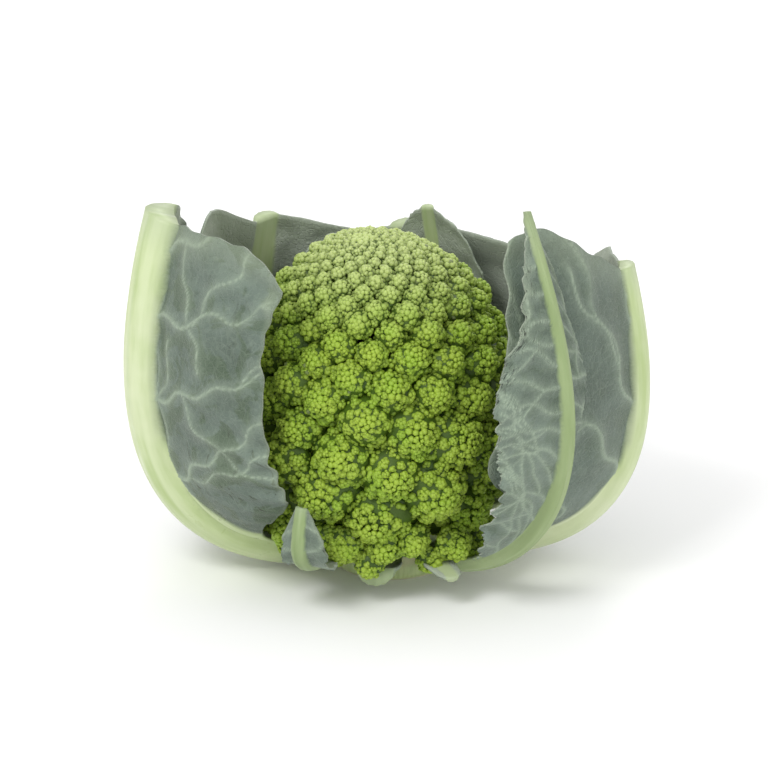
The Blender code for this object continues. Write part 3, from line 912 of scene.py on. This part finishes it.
SMALL_LEAVES = (
    Leaf("small_leaf_front", (236, 240, 241), (5, 8), INNER_RING - 3 * MM, INNER_RING - 2 * MM,
         mm(38, 49, 40), mm(0, 1), **THIN_RIB, seed=31, grain=0.8 * MM,
         waves=mm(1, 1), frills=mm(1.5, 2), ragged=1.0,
         corners=mm(3, 3), slopes=(0.8, 0.6), vein_gap=9 * MM, vein_width=1 * MM,
         feathery=True, pale=0.0),
    Leaf("small_leaf_right", (286, 291, 295), (4, 4), 38 * MM, 60 * MM,
         (LEAF_BASE - 1 * MM,) * 3, (0, 0), **THIN_RIB, seed=37, grain=0.7 * MM,
         waves=mm(0.4, 0.4), frills=mm(1, 1), vein_gap=9 * MM, pale=0.5),
    Leaf("cut_leaf_base", (262, 262, 262), (3, 3), 36 * MM, 47 * MM,
         (LEAF_BASE + 1 * MM,) * 3, (0, 0), mm(16, 15), mm(8, 6), seed=41,
         grain=0.7 * MM, waves=(0, 0), frills=mm(0.6, 0.6), vein_gap=9 * MM, pale=0.2),
)
WING = 1 * MM
SECTIONS = 400


def wavelets(rng, lengths, place):
    """A smooth random curve along place, from -1 to 1, made of waves of about these lengths."""
    total = np.zeros_like(place)
    for length in lengths:
        for _ in range(2):
            total += np.sin(2 * math.pi * (place / (length * rng.uniform(0.75, 1.3)) + rng.random()))
    return total / (2 * len(lengths))


class LeafShape:
    """The leaf's surface, by the share of its length from its base and the distance from its midrib."""

    def __init__(self, leaf):
        self.leaf = leaf
        share = np.linspace(0, 1, SECTIONS + 1)
        radius, height = self.profile(share)
        self.length_at = np.concatenate([[0], np.cumsum(np.hypot(np.diff(radius), np.diff(height)))])
        self.length = self.length_at[-1]
        along = np.stack([np.gradient(radius), np.gradient(height)])
        along /= np.linalg.norm(along, axis=0)
        self.shares, self.radii, self.heights, self.along = share, radius, height, along

    def profile(self, share):
        leaf = self.leaf
        top = leaf.tops[1]
        controls = (
            (BUTT_RADIUS + 0.5 * MM, leaf.base),
            (leaf.bulge, leaf.base - 3 * MM),
            (leaf.bulge * 1.15, max(top * 0.43, leaf.base)),
            (leaf.top_radius, top),
        )
        rest = 1 - share
        weights = (rest**3, 3 * rest**2 * share, 3 * rest * share**2, share**3)
        return tuple(sum(w * point[axis] for w, point in zip(weights, controls)) for axis in (0, 1))

    def half_rib(self, share):
        wide, narrow = self.leaf.rib
        return (wide + (narrow - wide) * share) / 2

    def half_width(self, share, side):
        """From the midrib's middle to the blade's edge, along the surface."""
        leaf = self.leaf
        radius = np.interp(share, self.shares, self.radii)
        reach = np.where(side < 0, leaf.reach[0], leaf.reach[1])
        opened = smooth_step(0.1, 0.42, share)
        return self.half_rib(share) + np.maximum(np.radians(reach) * opened * radius, WING)

    def place(self, share, across, offset):
        """Points at a share of the length, at a distance across, lifted by offset out of the bowl."""
        leaf = self.leaf
        side = np.where(across < 0, 0, 1)
        radius = np.interp(share, self.shares, self.radii)
        height = np.interp(share, self.shares, self.heights)
        normal_out = np.interp(share, self.shares, self.along[1])
        normal_up = -np.interp(share, self.shares, self.along[0])
        half_rib = self.half_rib(share)
        room = self.half_width(share, across) - half_rib
        blade = np.clip((np.abs(across) - half_rib) / room, 0, 1.1)
        base, middle, top = leaf.azimuths
        rest = 1 - share
        bend = 2 * middle - (base + top) / 2
        azimuth = np.radians(rest**2 * base + 2 * rest * share * bend + share**2 * top) + across / radius
        curl = np.where(side == 0, leaf.curl[0], leaf.curl[1]) * smooth_step(0.1, 0.42, share) * blade**1.5
        cut = np.where(side == 0, leaf.tops[0], leaf.tops[2]) - leaf.tops[1]
        lifted = offset - curl
        out = radius + normal_out * lifted
        up = height + normal_up * lifted + share**2 * cut * blade
        return np.stack([out * np.cos(azimuth), out * np.sin(azimuth), up], axis=-1)


class Veins:
    """The side veins of a leaf, as points across and along it with their widths."""

    step = 1.2 * MM

    def __init__(self, shape, rng):
        self.shape = shape
        self.rng = rng
        self.points = []
        leaf = shape.leaf
        for side in (-1, 1):
            along = shape.length * 0.17 + leaf.vein_gap * rng.uniform(0, 0.5)
            while along < shape.length * 0.985:
                share = np.interp(along, shape.length_at, shape.shares)
                start = side * shape.half_rib(share) * 0.8
                steeper = leaf.vein_angle * (0.45 + 0.75 * share)
                angle = side * math.radians(steeper + rng.normal(0, 4))
                width = leaf.vein_width * rng.uniform(0.85, 1.1)
                self.grow(start, along, angle, width, 0)
                along += leaf.vein_gap * rng.uniform(0.8, 1.2)

    def grow(self, across, along, heading, width, order):
        """A vein from a point, at an angle from the midrib, until it tapers out or meets the edge."""
        rng = self.rng
        side = 1 if heading > 0 else -1
        wiggle = rng.uniform(0, 2 * math.pi)
        travelled = 0.0
        feathery = self.shape.leaf.feathery
        gap, bend, swing = 8 * MM, 0.09, 3.4 * MM
        if not feathery:
            gap, bend, swing = 27 * MM, 0.14, rng.uniform(3.4, 5.6) * MM
        next_fork = gap * rng.uniform(0.6, 1.8)
        fork_side = rng.choice((-1, 1))
        taper = (90, 50, 22, 10)[order] * MM
        orders = 2 if feathery else 1
        while width > 0.28 * MM:
            travelled += self.step
            heading += bend * math.sin(travelled / swing + wiggle) + rng.normal(0, 0.035)
            heading -= side * 0.0042 * (1 if abs(heading) > 0.5 else 0)
            across += math.sin(heading) * self.step
            along += math.cos(heading) * self.step
            width *= math.exp(-self.step / taper)
            share = np.interp(along, self.shape.length_at, self.shape.shares)
            if along > self.shape.length or abs(across) > self.shape.half_width(share, across):
                return
            if across * side < self.shape.half_rib(share) * 0.6:
                return
            self.points.append((across, along, width, order))
            if travelled > next_fork and order < orders:
                next_fork = travelled + gap * rng.uniform(0.8, 1.7)
                fork_side = -fork_side
                turn = fork_side * rng.uniform(0.55, 0.95)
                self.grow(across, along, heading + turn, width * rng.uniform(0.5, 0.68), order + 1)

    def nearest(self, across, along, orders):
        """Distance to the nearest vein of these orders, and its width."""
        chosen = [point for point in self.points if point[3] in orders]
        if not chosen:
            return np.full(across.shape, 1.0), np.full(across.shape, 1 * MM)
        tree = kdtree.KDTree(len(chosen))
        for index, point in enumerate(chosen):
            tree.insert((point[0], point[1], 0), index)
        tree.balance()
        found = [tree.find((a, b, 0)) for a, b in zip(across, along)]
        widths = np.array([point[2] for point in chosen])
        return np.array([hit[2] for hit in found]), widths[[hit[1] for hit in found]]


def leaf_grid(leaf, shape):
    """A flat grid with a face for each grain of the leaf, and its places from -1 to 1 and 0 to 1."""
    widest = max(np.max(shape.half_width(shape.shares, side)) for side in (-1.0, 1.0))
    columns = int(2 * widest / leaf.grain)
    rows = int(shape.length / leaf.grain)
    deselect()
    bpy.ops.mesh.primitive_grid_add(x_subdivisions=columns, y_subdivisions=rows, size=2)
    made = bpy.context.object
    flat = coordinates(made.data)
    return made, flat[:, 0], (flat[:, 1] + 1) / 2


def cut_edges(leaf, shape, rng, column, row):
    """(share and length along the midrib, distance across, room for the blade) inside the leaf's edges."""
    side = np.where(column < 0, 0, 1)
    full = shape.half_width(row, column)
    arc = np.sign(column) * np.abs(column) * full
    top_cut = 1.0 * MM + 0.8 * MM * (1 + wavelets(rng, mm(15, 40), arc))
    off_heel = smooth_step(1.0, 2.0, np.abs(arc) / shape.half_rib(row))
    top_cut += leaf.ragged * 1.6 * MM * np.abs(wavelets(rng, mm(4, 8), arc)) * off_heel
    top_cut += np.where(side == 0, *leaf.corners) * np.abs(column) ** 7
    top_cut += np.where(side == 0, *leaf.slopes) * np.maximum(np.abs(arc) - shape.half_rib(row), 0)
    share = row * (1 - top_cut / shape.length * smooth_step(0.5, 1.0, row))
    length = np.interp(share, shape.shares, shape.length_at)
    notch = np.zeros_like(share)
    for which in (0, 1):
        depth = leaf.frills[which]
        curve = depth * (0.5 + 0.5 * wavelets(rng, mm(13, 31), length))
        torn = 0.6 * np.abs(wavelets(rng, mm(2.9, 7), length))
        torn += 0.35 * wavelets(rng, mm(9), length)
        shares, widths = zip(*leaf.outline[which])
        narrower = (full - shape.half_rib(share)) * (1 - np.interp(share, shares, widths))
        notch = np.where(side == which, curve + depth * leaf.ragged * torn + narrower, notch)
    room = np.maximum(full - shape.half_rib(share), 0)
    notch = np.minimum(notch, room * 0.85)
    return share, length, np.sign(column) * np.abs(column) * (full - notch), room


def ruffles(leaf, settings, rng, share, length, across, blade, off_rib, vein_distance):
    """How far the blade lies off the plain surface, sinking between its veins and waving at its edges."""
    side = np.where(across < 0, 0, 1)
    opened = smooth_step(0.12, 0.45, share)
    pucker = -settings.pucker * (1 - np.exp(-((vein_distance / mm(5)) ** 2))) * opened
    wave = np.zeros_like(share)
    for which in (0, 1):
        curve = wavelets(rng, mm(30, 19, 11), length + 0.35 * np.abs(across))
        wave = np.where(side == which, leaf.waves[which] * curve * blade**1.6, wave)
    swell = 1.6 * MM * wavelets(rng, mm(55, 34), length + 0.6 * across) * blade**0.7
    crinkle = 0.2 * MM * wavelets(rng, mm(4.5, 8), across + 0.5 * length) * blade
    frilly = leaf.ragged * 0.9 * MM * wavelets(rng, mm(3.4, 6), length)
    frilly = frilly * smooth_step(0.8, 1, blade)
    return (pucker + crinkle) * off_rib + (wave + swell) * opened + frilly * opened


def build_leaf(leaf, settings, finish):
    rng = np.random.default_rng(leaf.seed)
    shape = LeafShape(leaf)
    made, column, row = leaf_grid(leaf, shape)
    made.name = made.data.name = f"veined_{leaf.name}"
    share, length, across, room = cut_edges(leaf, shape, rng, column, row)

    veins = Veins(shape, rng)
    main_distance, main_width = veins.nearest(across, length, (0, 1))
    fine_distance, fine_width = veins.nearest(across, length, (2, 3))
    main_line = np.exp(-((main_distance / np.maximum(main_width * 0.55, 0.5 * MM)) ** 2))
    fine_line = np.exp(-((fine_distance / np.maximum(fine_width * 0.6, 0.45 * MM)) ** 2))
    halo = np.exp(-((main_distance / mm(3.2)) ** 2))
    half_rib = shape.half_rib(share)
    rib_place = np.clip(np.abs(across) / half_rib, 0, 1.6)
    heel = 1 + leaf.heel * (1 - smooth_step(0.18, 0.62, share))
    rib = 1 - smooth_step(0.93, 1.06, np.abs(across) / (half_rib * heel))
    blade = np.clip((np.abs(across) - half_rib) / np.maximum(room, 1e-6), 0, 1)
    off_rib = 1 - rib
    inner_offset = ruffles(leaf, settings, rng, share, length, across, blade, off_rib, main_distance)

    set_coordinates(made.data, shape.place(share, across, inner_offset))
    solid = made.modifiers.new("blade", "SOLIDIFY")
    solid.thickness = settings.thickness
    solid.offset = -1
    solid.use_quality_normals = True
    bpy.context.view_layer.objects.active = made
    bpy.ops.object.modifier_apply(modifier="blade")

    # The outer side carries the keeled midrib and the raised veins
    mesh = made.data
    count = len(share)
    rib_depth = leaf.depth[0] + (leaf.depth[1] - leaf.depth[0]) * share
    keel = rib_depth * np.clip(1 - rib_place**2, 0, None) ** 0.62
    stripes = np.sin(rib_place * np.sign(column) * 17 + 0.3 * np.sin(length / mm(9))) * rib
    ridge = (main_line * main_width * 0.5 + fine_line * fine_width * 0.35) * off_rib
    ridge *= smooth_step(0.12, 0.45, share) * settings.vein_height / mm(1.1)
    raised = settings.thickness + keel + 0.16 * MM * stripes + ridge
    outer = shape.place(share, across, inner_offset + raised)
    set_coordinates(mesh, np.vstack([coordinates(mesh)[:count], outer]))
    mesh.shade_smooth()

    # inner marks the inside faces, which the material paints lighter as painted light.
    set_attribute(mesh, "inner", np.repeat((1.0, 0.0), count))
    for name, values in (
        ("rib", rib),
        ("vein", np.maximum(main_line, fine_line * 0.62) * off_rib),
        ("halo", halo * off_rib),
        ("edge", smooth_step(0.93, 1.0, np.maximum(blade, row))),
        ("wet", np.full(count, leaf.wet)),
        ("along", share),
        ("pale", np.full(count, leaf.pale)),
    ):
        set_attribute(mesh, name, np.tile(values, 2))
    corners = np.empty(len(mesh.loops), np.int32)
    mesh.loops.foreach_get("vertex_index", corners)
    flat = np.tile(np.stack([across, length], axis=1), (2, 1))[corners] * 10  # one unit is 100 mm
    layer = mesh.uv_layers.active or mesh.uv_layers.new(name="UVMap")
    layer.data.foreach_set("uv", flat.astype(np.float32).ravel())
    piece_of(made, finish, "leaf", leaf.name)


def vein_net(tree, where, scale, width):
    """The lines between the cells of a net: 1 on a line, and 0 away from it."""
    cells = add_node(tree, "ShaderNodeTexVoronoi", Vector=where, Scale=scale, feature="DISTANCE_TO_EDGE")
    return remap(tree, cells.outputs["Distance"], 0.02, width, 1.0, 0.0)


def leaf_material(settings):
    made, tree, shader = new_material("waxy_leaf", 0.58)
    vein, halo, rib = attribute(tree, "vein"), attribute(tree, "halo"), attribute(tree, "rib")
    inner, wet, along = attribute(tree, "inner"), attribute(tree, "wet"), attribute(tree, "along")
    flat = add_node(tree, "ShaderNodeUVMap").outputs["UV"]
    net = vein_net(tree, flat, 42.0, 0.11)
    fine_net = vein_net(tree, flat, 130.0, 0.14)

    broad = object_noise(tree, 14.0, 4.0, 0.6)
    smears = object_noise(tree, 55.0, 5.0, 0.65, 0.6)
    bloom = times(tree, remap(tree, broad, 0.3, 0.62, 0.45, 1.0),
                      remap(tree, smears, 0.34, 0.6, 0.62, 1.0))
    blade = colour_mix(tree, bloom, settings.blade_colour, settings.bloom_colour)
    speck = object_noise(tree, 420.0, 3.0)
    blade = colour_mix(tree, remap(tree, speck, 0.45, 0.7, 0.0, 0.25), blade, (0.20, 0.25, 0.20))

    # Dark water-soaked blotches, more of them low down
    blotch = object_noise(tree, 62.0, 4.0, 0.6, 1.2)
    low = remap(tree, along, 0.35, 0.95, 1.0, 0.7)
    blotch = times(tree, remap(tree, blotch, 0.50, 0.57), times(tree, wet, low))
    blade = colour_mix(tree, times(tree, blotch, 0.8), blade, (0.045, 0.078, 0.032))

    # Small dark marks, drawn out along the leaf
    marks = stretched_noise(tree, flat, (1.0, 0.45, 1.0), Scale=17.0, Detail=3.0, Distortion=1.5)
    fewer_high = remap(tree, along, 0.4, 0.8, 1.0, 0.3)
    marks = times(tree, remap(tree, marks, 0.64, 0.69), times(tree, wet, fewer_high))
    blade = colour_mix(tree, marks, blade, (0.022, 0.036, 0.014))

    for lines, strength in ((net, 0.09), (fine_net, 0.05), (halo, 0.22), (vein, 0.86)):
        blade = colour_mix(tree, times(tree, lines, strength), blade, settings.vein_colour)
    # Painted light: the inside of each leaf is lightened to a pale grey-green, to make up for the shade it
    # lies in and the haze over it.
    blade = colour_mix(tree, times(tree, inner, 0.68), blade, (0.44, 0.48, 0.40))

    streaks = stretched_noise(tree, flat, (9.0, 0.7, 1.0), Scale=3.0, Detail=4.0)
    rib_tone = colour_mix(tree, remap(tree, streaks, 0.35, 0.7), settings.rib_colour, (0.40, 0.50, 0.22))
    pale = colour_mix(tree, remap(tree, broad, 0.42, 0.62, 0.0, 0.5), rib_tone, (0.66, 0.70, 0.50))
    green = colour_mix(tree, remap(tree, streaks, 0.35, 0.7), (0.20, 0.28, 0.105), (0.29, 0.37, 0.18))
    pale = colour_mix(tree, attribute(tree, "pale"), green, pale)
    surface = colour_mix(tree, rib, blade, pale)
    surface = colour_mix(tree, times(tree, attribute(tree, "edge"), 0.30), surface, (0.34, 0.40, 0.28))
    tree.links.new(surface, shader.inputs["Base Color"])

    rough = remap(tree, bloom, 0.2, 0.9, 0.42, 0.68)
    tree.links.new(calculate(tree, "SUBTRACT", rough, times(tree, blotch, 0.2)),
                   shader.inputs["Roughness"])
    shader.inputs["Specular IOR Level"].default_value = 0.4
    shader.inputs["Sheen Weight"].default_value = 0.12
    shader.inputs["Sheen Roughness"].default_value = 0.5
    relief = calculate(tree, "ADD", times(tree, net, 0.5), times(tree, fine_net, 0.25))
    relief = calculate(tree, "ADD", relief, times(tree, smears, 0.8))
    relief = times(tree, relief, calculate(tree, "SUBTRACT", 1.0, rib))
    relief = calculate(tree, "ADD", relief, times(tree, times(tree, streaks, rib), 0.6))
    add_bump(tree, shader, relief, 0.7, 0.0005)
    return made


def leaf_finish(context):
    """The leaves' one material, made when first asked for."""
    return bpy.data.materials.get("waxy_leaf") or leaf_material(context.scene.romanesco_leaf)


def build_leaves(context, leaves):
    for leaf in leaves:
        build_leaf(leaf, context.scene.romanesco_leaf, leaf_finish(context))


class ROMANESCO_OT_outer_leaves(bpy.types.Operator):
    """Builds the outer wrapper leaves."""

    bl_idname = "romanesco.outer_leaves"
    bl_label = "Outer leaves"

    def execute(self, context):
        build_leaves(context, OUTER_LEAVES)
        return {"FINISHED"}


class ROMANESCO_OT_middle_leaves(bpy.types.Operator):
    """Builds the middle ring of leaves."""

    bl_idname = "romanesco.middle_leaves"
    bl_label = "Middle leaves"

    def execute(self, context):
        build_leaves(context, MIDDLE_LEAVES)
        return {"FINISHED"}


class ROMANESCO_OT_inner_leaves(bpy.types.Operator):
    """Builds the young leaves close to the curd."""

    bl_idname = "romanesco.inner_leaves"
    bl_label = "Inner leaves"

    def execute(self, context):
        build_leaves(context, INNER_LEAVES)
        return {"FINISHED"}


class ROMANESCO_OT_small_leaves(bpy.types.Operator):
    """Builds the small leaves and the trimmed leaf base under the front."""

    bl_idname = "romanesco.small_leaves"
    bl_label = "Small leaves"

    def execute(self, context):
        build_leaves(context, SMALL_LEAVES)
        return {"FINISHED"}


# ---- Stage -------------------------------------------------------------------------------------


def area_light(name, energy, size, place, target, colour=(1, 1, 1)):
    light = bpy.data.lights.new(name, "AREA")
    light.energy = energy
    light.size = size
    light.color = colour
    made = bpy.data.objects.new(name, light)
    made.location = place
    made.rotation_euler = (Vector(target) - Vector(place)).to_track_quat("-Z", "Y").to_euler()
    bpy.context.scene.collection.objects.link(made)


class ROMANESCO_OT_stage(bpy.types.Operator):
    """Sets up the camera, the floor and the soft light."""

    bl_idname = "romanesco.stage"
    bl_label = "Stage"

    def execute(self, context):
        settings = context.scene.romanesco_stage
        deselect()
        bpy.ops.mesh.primitive_plane_add(size=9)
        floor = context.object
        floor.name = "floor"
        finish, _, shader = new_material("pale_floor", 0.8)
        shader.inputs["Base Color"].default_value = (*settings.floor_colour, 1)
        floor.data.materials.append(finish)

        world = bpy.data.worlds.new("studio")
        world.use_nodes = True
        world.node_tree.nodes["Background"].inputs["Color"].default_value = (1, 1, 1, 1)
        world.node_tree.nodes["Background"].inputs["Strength"].default_value = 0.8
        context.scene.world = world
        context.scene.view_settings.view_transform = "Standard"
        target = (0, 0, 0.07)
        area_light("key", 9.0, 0.5, (-0.55, -0.75, 1.1), target)
        area_light("fill", 3.5, 0.8, (0.9, -0.8, 0.5), target)
        area_light("back", 4.0, 0.6, (0.2, 0.9, 0.9), target)

        camera = bpy.data.cameras.new("camera")
        camera.lens = camera.sensor_width * settings.distance / settings.view_width
        camera.clip_end = 20
        made = bpy.data.objects.new("camera", camera)
        forward = Vector((0, math.cos(settings.elevation), -math.sin(settings.elevation)))
        upward = Vector((0, math.sin(settings.elevation), math.cos(settings.elevation)))
        aim = Vector((-0.0028, 0, 0)) + upward * 0.0704
        made.location = aim - forward * settings.distance
        made.rotation_euler = forward.to_track_quat("-Z", "Y").to_euler()
        context.scene.collection.objects.link(made)
        context.scene.camera = made
        return {"FINISHED"}


class ROMANESCO_PT_panel(bpy.types.Panel):
    """Lists the pieces of the head and their settings."""

    bl_idname = "ROMANESCO_PT_panel"
    bl_label = "Romanesco"
    bl_space_type = "VIEW_3D"
    bl_region_type = "UI"
    bl_category = "Romanesco"

    def draw(self, context):
        scene = context.scene
        for group in (scene.romanesco_stage, scene.romanesco_curd, scene.romanesco_leaf,
                      scene.romanesco_stalk):
            box = self.layout.box()
            for name in group.__annotations__:
                box.prop(group, name)
        for operator in OPERATORS:
            self.layout.operator(operator.bl_idname)


SETTINGS = (CurdSettings, LeafSettings, StalkSettings, StageSettings)
OPERATORS = (ROMANESCO_OT_stage, ROMANESCO_OT_stalk, ROMANESCO_OT_crown, ROMANESCO_OT_florets,
             ROMANESCO_OT_outer_leaves, ROMANESCO_OT_middle_leaves, ROMANESCO_OT_inner_leaves,
             ROMANESCO_OT_small_leaves)
CLASSES = (*SETTINGS, *OPERATORS, ROMANESCO_PT_panel)


def register():
    for made in CLASSES:
        bpy.utils.register_class(made)
    bpy.types.Scene.romanesco_curd = PointerProperty(type=CurdSettings)
    bpy.types.Scene.romanesco_leaf = PointerProperty(type=LeafSettings)
    bpy.types.Scene.romanesco_stalk = PointerProperty(type=StalkSettings)
    bpy.types.Scene.romanesco_stage = PointerProperty(type=StageSettings)


def unregister():
    del bpy.types.Scene.romanesco_stage
    del bpy.types.Scene.romanesco_stalk
    del bpy.types.Scene.romanesco_leaf
    del bpy.types.Scene.romanesco_curd
    for made in reversed(CLASSES):
        bpy.utils.unregister_class(made)


def main():
    register()
    bpy.ops.romanesco.stage()
    bpy.ops.romanesco.crown()
    bpy.ops.romanesco.florets()
    bpy.ops.romanesco.stalk()
    bpy.ops.romanesco.outer_leaves()
    bpy.ops.romanesco.middle_leaves()
    bpy.ops.romanesco.inner_leaves()
    bpy.ops.romanesco.small_leaves()


if __name__ == "__main__":
    main()
